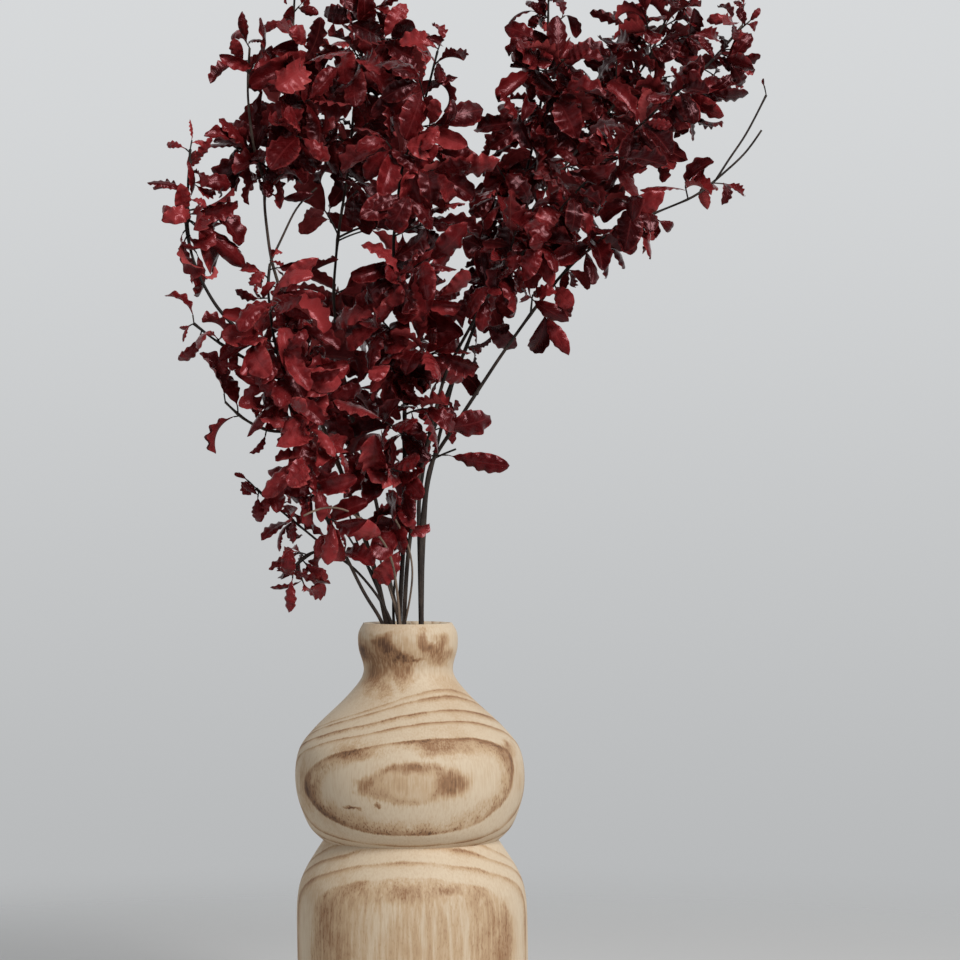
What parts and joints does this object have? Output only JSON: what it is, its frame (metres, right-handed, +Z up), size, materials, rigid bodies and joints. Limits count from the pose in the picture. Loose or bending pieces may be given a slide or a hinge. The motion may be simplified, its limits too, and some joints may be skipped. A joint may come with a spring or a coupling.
{
  "type": "preserved pittosporum stems in a turned wooden vase",
  "caption": "Bunch of dyed, preserved pittosporum stems with wavy dark red leaves, standing in a double-bulb turned wooden vase; a free-standing decoration.",
  "frame": {"origin": "centre of the vase's flat base, on the surface that it stands on", "axes": "+Z up along the vase, +X to the right as seen from the front, +Y away from the viewer"},
  "size_m": [0.4739, 0.3195, 0.8665],
  "materials": {
    "vase_wood": "matte, pale straw with scorched growth rings",
    "foliage": "satin, dyed dark red to near black"
  },
  "bodies": {
    "root": {"vase": "vase_wood", "stem_right_low": "foliage", "stem_right_front": "foliage", "stem_right_back": "foliage", "stem_right_upright": "foliage", "stem_centre": "foliage", "stem_left_back": "foliage", "stem_left_tall": "foliage", "stem_left_front": "foliage", "stem_left_low": "foliage"}
  },
  "joints": []
}
